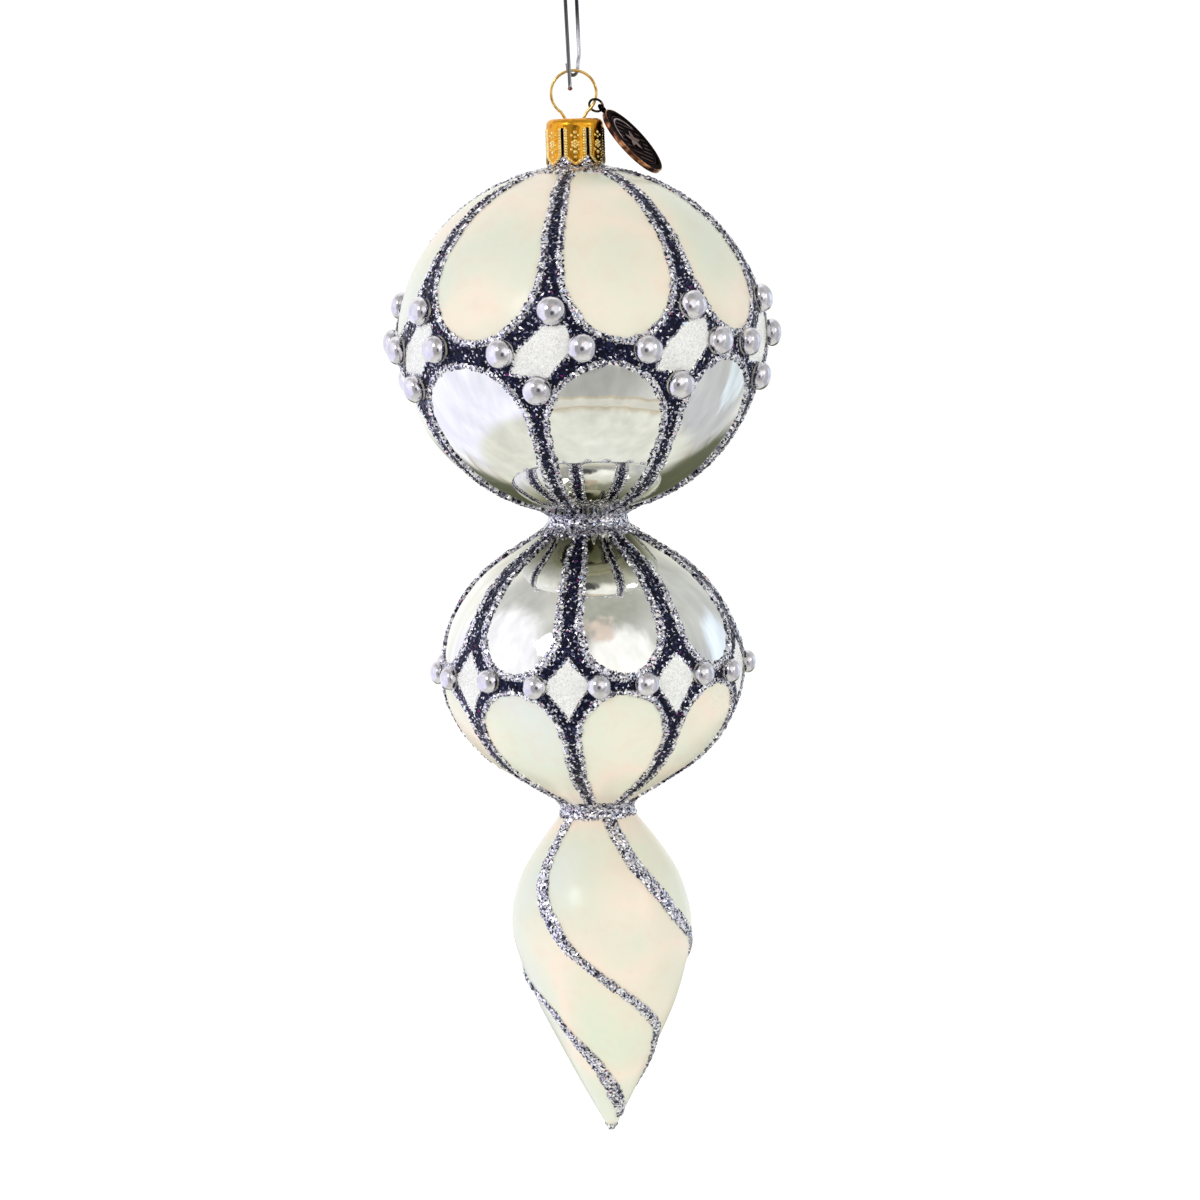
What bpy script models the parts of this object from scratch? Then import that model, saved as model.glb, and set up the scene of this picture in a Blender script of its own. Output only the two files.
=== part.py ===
"""Icicle hanging ornament: a blown-glass finial of two balls and a long drop, on a thin wire hook.

Metres, +Z up, +X to the right, -Y to the front. The origin is the hang point, the inside top of the
hook's crook, so the ornament hangs below z = 0. The sizes below are in millimetres, and heights are
counted from the equator of the upper ball; place() turns both into scene coordinates.
"""

import math

import bmesh
import bpy
from mathutils import Matrix, Vector

MM = 0.001
GAP = 0.3  # between pieces that touch

# Wire hook
HOOK_WIRE = 0.8
CROOK_INNER_R = 5.0
CROOK_HEIGHT = 80.0  # of the crook's centre
CROOK_YAW = math.radians(13.4)  # how far the crook is turned from the front-to-back plane
CURL_R = 1.6  # the small curl that carries the hanger
CURL_YAW = math.radians(40.0)
CURL_END = (-0.12, -0.15, 0.9)  # from the curl's half-circle to the wire's end
BACK_LEG = ((1.3, 4.5, 72.0), (1.4, 3.1, 64.5), (1.4, 2.2, 60.8), (1.15, 1.6, 59.3))
FRONT_LEG = ((-1.0, -5.0, 68.0), (-0.7, -4.6, 53.9))
BEAD = (1.25, 1.35, 1.2, 0.8)  # the free end's thickness, as shares of the wire's
BEAD_STEP = 0.18

# Spring wire hanger
HANGER_WIRE = 0.65
LOOP_R = 4.825  # to the middle of the wire
LOOP_HEIGHT = 52.65
LOOP_ENDS = math.radians(-54.0)  # where the round loop bends back towards the cap
LOOP_STEPS = 16  # of each half
HANGER_LEG = ((2.35, 47.95), (1.95, 47.2), (1.85, 45.6), (2.1, 42.5), (2.9, 38.0), (3.45, 32.0), (3.5, 26.0))

# Stamped cap
CAP_TOP = 47.3
CAP_TIPS = 37.5
CAP_DISC_R = 4.7
CAP_SHOULDER_R = 1.45
CAP_SKIRT_R = 6.3
CAP_SHEET = 0.4
CAP_STEPS = 42  # six to each petal
PETALS = 7
PETAL_SLOT = 0.52
SLOT_TOP = 45.3
SLOT_BOTTOM = 39.4  # from here down each petal narrows to its tip
PETAL_TAPER = 0.65
PETAL_ROWS = 6
NOTCH_CUT = (3.5, 6.0)  # from the cap's axis, and how far out the cutter reaches from there
WIRE_SLOT = (1.2, 4.2, 1.3)  # inner end, outer end and width of each slot in the cap's top
CLEAR_CUT = 1.0  # how far a cutter passes the faces that it cuts

# Glass body
NECK_R = 5.2
NECK_TOP = 46.4
NECK_FLARE = ((5.2, 39.5), (5.3, 38.0), (5.95, 36.95))
GLASS_WALL = 1.0
UPPER_BALL_R = 39.6
UPPER_BALL_HALVES = (37.1, 37.1)  # heights of its upper and lower halves
UPPER_BALL_SPAN = (79.0, -76.0)  # degrees above the equator, from the neck down to the waist
LOWER_BALL_HEIGHT = -71.0
LOWER_BALL_R = 32.6
LOWER_BALL_HALVES = (30.1, 27.5)
LOWER_BALL_SPAN = (62.0, -56.0)
UPPER_WAIST = ((8.4, -37.3), (8.2, -38.5), (8.9, -40.0), (11.6, -42.0))
LOWER_WAIST = ((13.1, -97.0), (9.3, -99.3), (7.8, -101.0), (7.9, -102.6))
DROP = (
    (9.0, -104.4),
    (13.6, -110.6),
    (17.4, -117.2),
    (19.5, -125.0),
    (19.1, -132.2),
    (15.5, -143.9),
    (10.8, -154.1),
    (5.9, -164.0),
    (2.2, -171.0),
)
TIP = ((0.9, -173.4), (0.0, -174.4))
BORE_END = -164.0  # below this the drawn tip is solid glass
TIP_DRIFT = (0.8, -120.0, -150.0)  # sideways bend of the hand-drawn tip, and where it starts and ends
GLASS_STEPS = 28

# Pearls, in diamonds round both balls, which were spaced by eye: degrees from the front, towards +X
UPPER_DIAMONDS = (-61.0, -12.4, 32.6, 72.0, 118.0, 164.0, 209.0, 254.0)
LOWER_DIAMONDS = (-94.0, -53.5, -9.8, 32.3, 73.5, 121.6, 169.8, 217.9)
UPPER_PEARL_R = 3.0
LOWER_PEARL_R = 2.5
PEARL_DOME = 1.05  # height over radius
PEARL_STEPS = 10
UPPER_SPOTS = ((-12.5, -0.4), (3.4, 8.4), (12.5, 0.4), (-1.8, -8.2))  # degrees from the middle, height
LOWER_SPOTS = ((-12.1, -70.4), (12.1, -70.1))

# Jump ring and tag, on the right of the loop
TAG_RING_R = 1.5
TAG_RING_WIRE = 0.54
TAG_RING_ANGLE = math.radians(-30.0)  # where on the loop it hangs
TAG_RING_TURN = math.radians(55.0)  # from square to the loop's wire towards facing the front
TAG_RING_LIFT = 0.6  # from the loop's wire to the ring's centre
TAG_LENGTH = 17.3
TAG_WIDTH = 12.7
TAG_THICK = 1.1
TAG_RIM = 0.9
TAG_RECESS = 0.22
TAG_LEAN = math.radians(49.0)  # the long axis below the horizontal
TAG_TURN = math.radians(70.0)  # its face, from facing the front towards facing up
TAG_EYE_REACH = 0.8  # of the eye's centre beyond the oval
TAG_EYE_R = 1.15
TAG_EYE_HOLE_R = 0.68
TAG_EYE_THICK = 0.8


def place(x, y, z):
    """Scene coordinates of a point given in millimetres from the upper ball's centre."""
    return Vector((x, y, z - CROOK_HEIGHT - CROOK_INNER_R)) * MM


def collection(name):
    made = bpy.data.collections.new(name)
    bpy.context.scene.collection.children.link(made)
    return made


def clear_scene():
    for obj in list(bpy.data.objects):
        bpy.data.objects.remove(obj, do_unlink=True)


def material(name, colour, roughness, metallic=0.0, alpha=1.0):
    made = bpy.data.materials.new(name)
    made.use_nodes = True
    shader = made.node_tree.nodes["Principled BSDF"]
    shader.inputs["Base Color"].default_value = (*colour, 1.0)
    shader.inputs["Roughness"].default_value = roughness
    shader.inputs["Metallic"].default_value = metallic
    shader.inputs["Alpha"].default_value = alpha
    made.diffuse_color = (*colour, alpha)
    return made


def smooth_points(points, steps):
    """Points along a Catmull-Rom curve through the given points, both ends included."""
    knots = [Vector(point) for point in points]
    knots = [2 * knots[0] - knots[1], *knots, 2 * knots[-1] - knots[-2]]
    made = []
    for before, start, end, after in zip(knots, knots[1:], knots[2:], knots[3:]):
        for step in range(steps):
            t = step / steps
            made.append(
                0.5
                * (
                    2 * start
                    + (end - before) * t
                    + (2 * before - 5 * start + 4 * end - after) * t**2
                    + (3 * start - before - 3 * end + after) * t**3
                )
            )
    return [*made, knots[-2]]


def add_object(name, data, into, finish=None):
    obj = bpy.data.objects.new(name, data)
    into.objects.link(obj)
    if finish and not data.materials:
        data.materials.append(finish)
    return obj


def wire_object(name, points, diameter, into, finish, bead=()):
    """A round wire through the points; bead lists the last points' thickness, as a share of the wire's."""
    curve = bpy.data.curves.new(name, "CURVE")
    curve.dimensions = "3D"
    curve.bevel_depth = diameter / 2 * MM
    curve.bevel_resolution = 2
    curve.use_fill_caps = True
    spline = curve.splines.new("POLY")
    spline.points.add(len(points) - 1)
    shares = [1.0] * (len(points) - len(bead)) + list(bead)
    for knot, point, share in zip(spline.points, points, shares):
        knot.co = (*place(*point), 1.0)
        knot.radius = share
    spline.use_smooth = True
    return add_object(name, curve, into, finish)


def turned_mesh(name, profile):
    """The profile's edges alone, (radius, height) in millimetres, for a Screw to turn about Z."""
    mesh = bpy.data.meshes.new(name)
    points = [(radius * MM, 0.0, height * MM) for radius, height in profile]
    mesh.from_pydata(points, [(i, i + 1) for i in range(len(points) - 1)], [])
    return mesh


def add_screw(obj, steps):
    screw = obj.modifiers.new("turn", "SCREW")
    screw.axis = "Z"
    screw.steps = steps
    screw.render_steps = steps
    screw.use_merge_vertices = True
    screw.merge_threshold = 0.00001
    screw.use_smooth_shade = True


def add_boolean(obj, other, operation):
    boolean = obj.modifiers.new(other.name, "BOOLEAN")
    boolean.operation = operation
    boolean.solver = "EXACT"
    boolean.object = other


def helper(obj):
    """Marks a cutter or a shape that a Boolean joins, which isn't a piece of its own."""
    obj.hide_render = True
    obj.display_type = "WIRE"
    return obj


def cylinder(name, radius, depth, into, segments=24, stretch=(1.0, 1.0)):
    shape = bmesh.new()
    bmesh.ops.create_cone(
        shape,
        cap_ends=True,
        segments=segments,
        radius1=radius * MM,
        radius2=radius * MM,
        depth=depth * MM,
    )
    bmesh.ops.scale(shape, vec=(*stretch, 1.0), verts=shape.verts)
    mesh = bpy.data.meshes.new(name)
    shape.to_mesh(mesh)
    shape.free()
    return add_object(name, mesh, into)


def prism(name, outline, depth, into):
    """A flat outline in X and Z, extruded by depth along +Y."""
    shape = bmesh.new()
    face = shape.faces.new([shape.verts.new((x * MM, 0.0, z * MM)) for x, z in outline])
    walls = bmesh.ops.extrude_face_region(shape, geom=[face])
    moved = [item for item in walls["geom"] if isinstance(item, bmesh.types.BMVert)]
    bmesh.ops.translate(shape, vec=(0.0, depth * MM, 0.0), verts=moved)
    bmesh.ops.recalc_face_normals(shape, faces=shape.faces)
    mesh = bpy.data.meshes.new(name)
    shape.to_mesh(mesh)
    shape.free()
    return add_object(name, mesh, into)


def crook_point(angle):
    """A point of the crook's half-circle; 0 is its back leg and pi its front leg."""
    radius = CROOK_INNER_R + HOOK_WIRE / 2
    across = radius * math.cos(angle)
    height = CROOK_HEIGHT + radius * math.sin(angle)
    return Vector((across * math.sin(CROOK_YAW), across * math.cos(CROOK_YAW), height))


def curl_height():
    """Centre of the curl, whose wire passes under the top of the hanger's loop."""
    loop_top = LOOP_HEIGHT + LOOP_R
    return loop_top - (HANGER_WIRE + HOOK_WIRE) / 2 - GAP + CURL_R


def curl_point(angle):
    across = CURL_R * math.cos(angle)
    height = curl_height() + CURL_R * math.sin(angle)
    return Vector((across * math.sin(CURL_YAW), across * math.cos(CURL_YAW), height))


def add_hook(into, steel):
    crook = [crook_point(math.radians(angle)) for angle in range(0, 181, 15)]
    curl = [curl_point(math.radians(angle)) for angle in range(0, -181, -20)]
    back_leg = smooth_points([crook[0], *BACK_LEG, curl[0]], 3)
    front_leg = smooth_points([crook[-1], *FRONT_LEG], 4)
    curl_tip = curl[-1] + Vector(CURL_END)
    bead = [front_leg[-1] - Vector((0.0, 0.0, BEAD_STEP * step)) for step in range(1, len(BEAD) + 1)]
    path = [curl_tip, *reversed(curl), *reversed(back_leg[1:-1]), *crook, *front_leg[1:], *bead]
    wire_object("wire_hook", path, HOOK_WIRE, into, steel, BEAD)


def add_hanger(into, brass):
    top = math.radians(90.0)
    half = []
    for step in range(LOOP_STEPS + 1):
        angle = top + (LOOP_ENDS - top) * step / LOOP_STEPS
        half.append((LOOP_R * math.cos(angle), LOOP_HEIGHT + LOOP_R * math.sin(angle)))
    leg = smooth_points([half[-1], *HANGER_LEG], 3)
    half += [tuple(point) for point in leg[1:]]
    right = [(x, 0.0, z) for x, z in half]
    left = [(-x, 0.0, z) for x, z in half[1:]]
    wire_object("wire_hanger", [*reversed(left), *right], HANGER_WIRE, into, brass)


def cap_profile():
    """Out along the underside of the disc, down the inside, then up the outside to the middle."""
    turn = [math.radians(90.0 * step / 4) for step in range(5)]
    centre = CAP_TOP - CAP_SHOULDER_R
    outer = [
        (CAP_DISC_R + CAP_SHOULDER_R * math.sin(a), centre + CAP_SHOULDER_R * math.cos(a)) for a in turn
    ]
    inner_r = CAP_SHOULDER_R - CAP_SHEET
    inner = [(CAP_DISC_R + inner_r * math.sin(a), centre + inner_r * math.cos(a)) for a in turn]
    outside = [(0.0, CAP_TOP), *outer, (CAP_SKIRT_R, CAP_TIPS)]
    inside = [(CAP_SKIRT_R - CAP_SHEET, CAP_TIPS), *reversed(inner), (0.0, CAP_TOP - CAP_SHEET)]
    return outside + inside


def notch_outline():
    """Between two petals: a narrow slot that opens downwards as both petals taper to their tips."""
    half_slot = PETAL_SLOT / 2
    half_petal = math.pi * CAP_SKIRT_R / PETALS - half_slot
    side = [(half_slot, SLOT_TOP), (half_slot, SLOT_BOTTOM)]
    for row in range(1, PETAL_ROWS + 1):
        down = row / PETAL_ROWS
        arc = half_slot + half_petal * (1.0 - (1.0 - down) ** PETAL_TAPER)
        flat = CAP_SKIRT_R * math.sin(arc / CAP_SKIRT_R)
        side.append((flat, SLOT_BOTTOM - (SLOT_BOTTOM - CAP_TIPS) * down))
    side.append((side[-1][0], CAP_TIPS - CLEAR_CUT))
    return [(-x, z) for x, z in reversed(side)] + side


def add_cap(into, cutters, gold):
    cap = add_object("metal_cap", turned_mesh("metal_cap", cap_profile()), into, gold)
    cap.location = place(0.0, 0.0, 0.0)
    add_screw(cap, CAP_STEPS)
    start, reach = NOTCH_CUT
    for index in range(PETALS):
        notch = helper(prism(f"petal_notch_{index + 1}", notch_outline(), reach, cutters))
        turn = math.radians(180.0 / PETALS + 360.0 / PETALS * index)
        notch.location = place(start * math.sin(turn), -start * math.cos(turn), 0.0)
        notch.rotation_euler = (0.0, 0.0, turn + math.pi)
        add_boolean(cap, notch, "DIFFERENCE")
    inner, outer, width = WIRE_SLOT
    for index, side in enumerate((-1, 1)):
        outline = [
            (side * inner, CAP_TOP - CAP_SHEET - CLEAR_CUT),
            (side * outer, CAP_TOP - CAP_SHEET - CLEAR_CUT),
            (side * outer, CAP_TOP + CLEAR_CUT),
            (side * inner, CAP_TOP + CLEAR_CUT),
        ]
        slot = helper(prism(f"wire_slot_{index + 1}", outline, width, cutters))
        slot.location = place(0.0, -width / 2, 0.0)
        add_boolean(cap, slot, "DIFFERENCE")


def ball_arc(radius, halves, height, span, steps):
    """Rows of a ball with unlike halves, between two angles above its equator."""
    first, last = span
    upper, lower = halves
    rows = []
    for step in range(steps + 1):
        angle = math.radians(first + (last - first) * step / steps)
        half = upper if angle > 0 else lower
        rows.append(Vector((radius * math.cos(angle), height + half * math.sin(angle))))
    return rows


def glass_outline():
    """The outside of the glass, (radius, height), from the neck's rim down to the tip."""
    upper = ball_arc(UPPER_BALL_R, UPPER_BALL_HALVES, 0.0, UPPER_BALL_SPAN, 12)
    lower = ball_arc(LOWER_BALL_R, LOWER_BALL_HALVES, LOWER_BALL_HEIGHT, LOWER_BALL_SPAN, 8)
    neck = [Vector(point) for point in NECK_FLARE]
    waist = [Vector(point) for point in UPPER_WAIST]
    drop = [Vector(point) for point in (*LOWER_WAIST, *DROP)]
    return [
        Vector((NECK_R, NECK_TOP)),
        *neck,
        *upper,
        *waist,
        *lower,
        *drop,
        *[Vector(point) for point in TIP],
    ]


def inside_outline(outline):
    """The outline moved in by the wall, as far down as the bore reaches."""
    rows = [Vector((NECK_R - GLASS_WALL, NECK_TOP))]
    for before, point, after in zip(outline, outline[1:], outline[2:]):
        along = (after - before).normalized()
        inwards = Vector((along.y, -along.x))
        moved = point + inwards * GLASS_WALL
        if point.y > BORE_END:
            rows.append(moved)
    return [*rows, Vector((0.0, rows[-1].y - GLASS_WALL))]


def drift(height):
    """How far the hand-drawn tip has wandered towards +X at this height, in millimetres."""
    most, start, end = TIP_DRIFT
    share = min(max((start - height) / (start - end), 0.0), 1.0)
    return most * share * share * (3.0 - 2.0 * share)


def add_glass(into, glass):
    outline = glass_outline()
    profile = [*reversed(inside_outline(outline)), *outline]
    turned = add_object("turned_glass", turned_mesh("turned_glass", profile), into)
    add_screw(turned, GLASS_STEPS)
    graph = bpy.context.evaluated_depsgraph_get()
    mesh = bpy.data.meshes.new_from_object(turned.evaluated_get(graph))
    bpy.data.objects.remove(turned, do_unlink=True)
    for vertex in mesh.vertices:
        vertex.co.x += drift(vertex.co.z / MM) * MM
    mesh.name = "glass_body"
    mesh.shade_smooth()
    body = add_object("glass_body", mesh, into, glass)
    body.location = place(0.0, 0.0, 0.0)


def ball_point(angle, height):
    """The point of either ball at this angle from the front and this height, and the way out."""
    if height > LOWER_BALL_HEIGHT / 2:
        centre, radius, halves = 0.0, UPPER_BALL_R, UPPER_BALL_HALVES
    else:
        centre, radius, halves = LOWER_BALL_HEIGHT, LOWER_BALL_R, LOWER_BALL_HALVES
    up = height - centre
    half = halves[0] if up > 0 else halves[1]
    out = radius * math.sqrt(1.0 - (up / half) ** 2)
    front = Vector((math.sin(math.radians(angle)), -math.cos(math.radians(angle)), 0.0))
    normal = (front * (out / radius**2) + Vector((0.0, 0.0, up / half**2))).normalized()
    return front * out + Vector((0.0, 0.0, height)), normal


def pearl_mesh(name, radius, finish):
    """A flat-backed dome: its arc, then its back."""
    arc = [math.radians(30.0 * step) for step in range(4)]
    profile = [(radius * math.sin(a), radius * PEARL_DOME * math.cos(a)) for a in arc]
    mesh = turned_mesh(name, [*profile, (0.0, 0.0)])
    mesh.materials.append(finish)
    return mesh


def add_pearls(into, pearl):
    rows = (
        ("upper", UPPER_PEARL_R, UPPER_DIAMONDS, UPPER_SPOTS),
        ("lower", LOWER_PEARL_R, LOWER_DIAMONDS, LOWER_SPOTS),
    )
    for row, radius, diamonds, spots in rows:
        mesh = pearl_mesh(f"{row}_pearl", radius, pearl)
        places = [(middle + turn, height) for middle in diamonds for turn, height in spots]
        for number, (angle, height) in enumerate(places, start=1):
            point, normal = ball_point(angle, height)
            obj = add_object(f"{row}_pearl_{number:02d}", mesh, into)
            obj.location = place(*(point + normal * GAP))
            obj.rotation_mode = "QUATERNION"
            obj.rotation_quaternion = normal.to_track_quat("Z", "Y")
            add_screw(obj, PEARL_STEPS)


def tag_ring_frame():
    """Where the jump ring holds the loop, its centre, its normal and the way it points."""
    cos, sin = math.cos(TAG_RING_ANGLE), math.sin(TAG_RING_ANGLE)
    held = Vector((LOOP_R * cos, 0.0, LOOP_HEIGHT + LOOP_R * sin))
    along_wire = Vector((-sin, 0.0, cos))
    outwards = Vector((cos, 0.0, sin))
    normal = along_wire * math.cos(TAG_RING_TURN) + Vector((0.0, 1.0, 0.0)) * math.sin(TAG_RING_TURN)
    return held, held + outwards * TAG_RING_LIFT, normal, outwards


def add_tag_ring(into, black):
    _, centre, normal, _ = tag_ring_frame()
    bpy.ops.mesh.primitive_torus_add(
        major_radius=TAG_RING_R * MM,
        minor_radius=TAG_RING_WIRE / 2 * MM,
        major_segments=24,
        minor_segments=8,
    )
    ring = bpy.context.object
    for home in list(ring.users_collection):
        home.objects.unlink(ring)
    into.objects.link(ring)
    ring.name = "tag_ring"
    ring.data.materials.append(black)
    ring.data.shade_smooth()
    ring.location = place(*centre)
    ring.rotation_mode = "QUATERNION"
    ring.rotation_quaternion = normal.to_track_quat("Z", "Y")


def tag_axes():
    """The tag's long axis, its cross axis and its face's normal."""
    long_axis = Vector((math.cos(TAG_LEAN), 0.0, -math.sin(TAG_LEAN)))
    up_right = Vector((math.sin(TAG_LEAN), 0.0, math.cos(TAG_LEAN)))
    front = Vector((0.0, -1.0, 0.0))
    normal = front * math.cos(TAG_TURN) + up_right * math.sin(TAG_TURN)
    return long_axis, normal.cross(long_axis), normal


def add_tag(into, cutters, bronze):
    _, ring_centre, _, outwards = tag_ring_frame()
    eye = ring_centre + outwards * TAG_RING_R
    long_axis, cross_axis, normal = tag_axes()
    reach = TAG_LENGTH / 2 + TAG_EYE_REACH
    turn = Matrix((long_axis, cross_axis, normal)).transposed().to_4x4()
    tag_world = Matrix.Translation(place(*(eye + long_axis * reach))) @ turn
    eye_world = Matrix.Translation(place(*eye)) @ turn
    tag = cylinder("hang_tag", 1.0, TAG_THICK, into, 48, (TAG_LENGTH / 2, TAG_WIDTH / 2))
    tag.data.materials.append(bronze)
    tag.matrix_world = tag_world
    lug = helper(cylinder("tag_eye", TAG_EYE_R, TAG_EYE_THICK, cutters))
    lug.matrix_world = eye_world
    hole = helper(cylinder("tag_eye_hole", TAG_EYE_HOLE_R, TAG_EYE_THICK + 2 * CLEAR_CUT, cutters, 20))
    hole.matrix_world = eye_world
    inner = (TAG_LENGTH / 2 - TAG_RIM, TAG_WIDTH / 2 - TAG_RIM)
    recess = helper(cylinder("tag_recess", 1.0, CLEAR_CUT, cutters, 48, inner))
    lift = TAG_THICK / 2 - TAG_RECESS + CLEAR_CUT / 2
    recess.matrix_world = tag_world @ Matrix.Translation((0.0, 0.0, lift * MM))
    add_boolean(tag, lug, "UNION")
    add_boolean(tag, hole, "DIFFERENCE")
    add_boolean(tag, recess, "DIFFERENCE")


def main():
    clear_scene()
    parts = collection("icicle_ornament")
    cutters = collection("cutters")
    steel = material("polished_steel", (0.62, 0.63, 0.65), 0.2, 1.0)
    brass = material("brass_wire", (0.85, 0.62, 0.25), 0.25, 1.0)
    gold = material("gold_cap", (0.9, 0.55, 0.12), 0.3, 1.0)
    glass = material("lacquered_glass", (0.86, 0.86, 0.78), 0.15)
    pearl = material("pearl", (0.78, 0.77, 0.82), 0.2)
    black = material("black_metal", (0.03, 0.03, 0.03), 0.35, 0.8)
    bronze = material("dark_bronze", (0.09, 0.06, 0.05), 0.35, 0.9)
    add_hook(parts, steel)
    add_hanger(parts, brass)
    add_cap(parts, cutters, gold)
    add_glass(parts, glass)
    add_pearls(parts, pearl)
    add_tag_ring(parts, black)
    add_tag(parts, cutters, bronze)
    bpy.context.view_layer.update()


main()
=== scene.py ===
"""The looks of the icicle ornament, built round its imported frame.

Lengths in this file are in millimetres and heights are counted from the equator of the upper ball.
Angles round the ornament are in degrees from the front (-Y) towards +X. to_world() turns points
into the frame's metres. Everything is generated, and nothing here moves a CAD part.
"""

import math

import bmesh
import bpy
import numpy as np
from mathutils import Matrix, Vector


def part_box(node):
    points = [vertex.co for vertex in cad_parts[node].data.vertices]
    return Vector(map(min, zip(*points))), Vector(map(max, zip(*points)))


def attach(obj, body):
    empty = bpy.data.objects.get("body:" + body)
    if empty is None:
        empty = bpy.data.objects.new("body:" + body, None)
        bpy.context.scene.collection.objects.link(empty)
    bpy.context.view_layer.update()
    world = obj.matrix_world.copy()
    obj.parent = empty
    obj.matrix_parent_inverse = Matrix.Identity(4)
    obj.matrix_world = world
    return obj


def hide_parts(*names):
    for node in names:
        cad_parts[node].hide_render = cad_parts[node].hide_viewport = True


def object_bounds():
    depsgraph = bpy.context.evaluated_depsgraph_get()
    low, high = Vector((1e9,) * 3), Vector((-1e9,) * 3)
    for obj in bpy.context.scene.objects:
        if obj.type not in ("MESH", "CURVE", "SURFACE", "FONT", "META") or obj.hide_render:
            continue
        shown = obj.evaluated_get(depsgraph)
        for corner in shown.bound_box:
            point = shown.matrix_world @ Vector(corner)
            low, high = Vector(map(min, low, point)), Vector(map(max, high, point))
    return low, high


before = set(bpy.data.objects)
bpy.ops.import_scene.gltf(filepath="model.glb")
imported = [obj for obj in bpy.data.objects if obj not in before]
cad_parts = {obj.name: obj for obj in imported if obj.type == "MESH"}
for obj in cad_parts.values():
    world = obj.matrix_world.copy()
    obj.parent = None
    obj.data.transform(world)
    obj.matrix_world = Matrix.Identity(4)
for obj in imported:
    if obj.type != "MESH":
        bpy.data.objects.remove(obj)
CAD_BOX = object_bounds()

MM = 0.001
NECK_TOP = 46.4
CLEARANCE = 0.3  # what the CAD model leaves between parts that touch
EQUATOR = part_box("glass_body")[1].z / MM - NECK_TOP  # the upper ball's equator in the frame

# Glass outline
NECK_R = 5.2
NECK_WALL = 1
NECK_DEPTH = 10  # how far down the open neck can be seen
NECK_FLARE = ((5.2, 39.5), (5.3, 38), (5.95, 36.95))
# Radius, half heights above and below the equator, the equator's height, from and to which angle
UPPER_BALL = (39.6, (37.1, 37.1), 0, (79, -76))
LOWER_BALL = (32.6, (30.1, 27.5), -71, (62, -56))
UPPER_WAIST = ((8.4, -37.3), (8.2, -38.5), (8.9, -40), (11.6, -42))
LOWER_WAIST = ((13.1, -97), (9.3, -99.3), (7.8, -101), (7.9, -102.6))
DROP = (
    (9, -104.4), (13.6, -110.6), (17.4, -117.2), (19.5, -125), (19.1, -132.2), (15.5, -143.9),
    (10.8, -154.1), (5.9, -164), (2.2, -171),
)
TIP = ((0.9, -173.4), (0, -174.4))
TIP_DRIFT = (0.8, -120, -150)  # how far, and the heights between which it grows
GLASS_SEGMENTS = 192
GLASS_ROW = 0.9

# Where the lacquer ends and the silvered glass begins
SILVERED = (-2.2, -70.6)

# Painted and glittered pattern
UPPER_DIAMONDS = (-61, -12.4, 32.6, 72, 118, 164, 209, 254)
LOWER_DIAMONDS = (-94, -53.5, -9.8, 32.3, 73.5, 121.6, 169.8, 217.9)
UPPER_WHITE = ((0.5, 5), (5.5, 5.3), (6.6, 0.8), (1.4, -5.4), (-6.6, -4.4), (-5.4, -0.6))
LOWER_WHITE = ((0.3, 5.8), (4.9, 0.5), (0.3, -6.8), (-4.9, 0))
LOWER_WHITE_HEIGHT = -70.5
COLLARS = ((35.9, 39.7), (-41.4, -36.3), (-103.3, -99.6))
SPIRALS = (
    # a line's (height, angle) points, its (height, width) points, and the height where it ends
    (
        ((-101, -48), (-110, -50), (-115, -47.5), (-120, -41.4), (-125, -30.8),
         (-130, -21), (-135, -5), (-140, 13), (-145, 33.6), (-150, 55),
         (-155, 68), (-162, 98), (-167, 124), (-171, 152)),
        ((-103, 2.3), (-110, 2.5), (-115, 3.1), (-127, 3), (-133, 1.7), (-142, 1.6),
         (-149, 2.3), (-162, 2.2), (-170, 1.2)),
        -170.6,
    ),
    (
        ((-101, 15), (-105, 20.5), (-110, 26.8), (-115, 36), (-120, 47.4),
         (-125, 58.6), (-130, 76), (-140, 115), (-150, 160), (-163, 202),
         (-167, 217), (-171, 234)),
        ((-103, 3), (-125, 3.3), (-140, 1.8), (-160, 1.8), (-170, 1.2)),
        -170.6,
    ),
    (
        ((-101, 138), (-115, 150), (-125, 182), (-135, 244), (-142.5, 299),
         (-150, 318.6), (-155, 335.5), (-160, 351), (-165, 371.8), (-168, 391),
         (-171, 418)),
        ((-103, 2.8), (-125, 3), (-143, 1.6), (-155, 2.8), (-166, 3), (-170, 1.8)),
        -170.8,
    ),
    (
        ((-101, 226), (-110, 221.5), (-120, 211), (-128.5, 204), (-132, 206)),
        ((-103, 2.6), (-130, 2)),
        -128.6,  # it runs into the line before it
    ),
)
TIP_BEAD = -172.6
PATTERNS_MEET = -39  # the upper ball's pattern is above this height, the lower ball's below
LEAST_HALF = 0.3  # a petal's half width never counts as less
DIAMOND_EDGE = 0.4  # the silver line round a white diamond
COLLAR_DOME = 0.6
BALL_WOBBLE = 0.09  # unevenness of the hand-drawn edges
SPIRAL_WOBBLE = 0.07
COLLAR_WOBBLE = 0.12

# Glitter: zones and flakes
BARE, SILVER, NAVY, WHITE = 0, 1, 2, 3
FLAKE = 0.5
FINE_FLAKE = 0.34
FLAKE_ROW = 0.87  # rows of flakes are this share of a flake apart
JITTER_ROUND = 0.33  # shares of a flake
JITTER_DOWN = 0.3
FLAKES_END = 0.3  # how far above the glass tip the flakes end
CRUST_FOOT = -0.12  # the crust's underside is sunk into the glass

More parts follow.
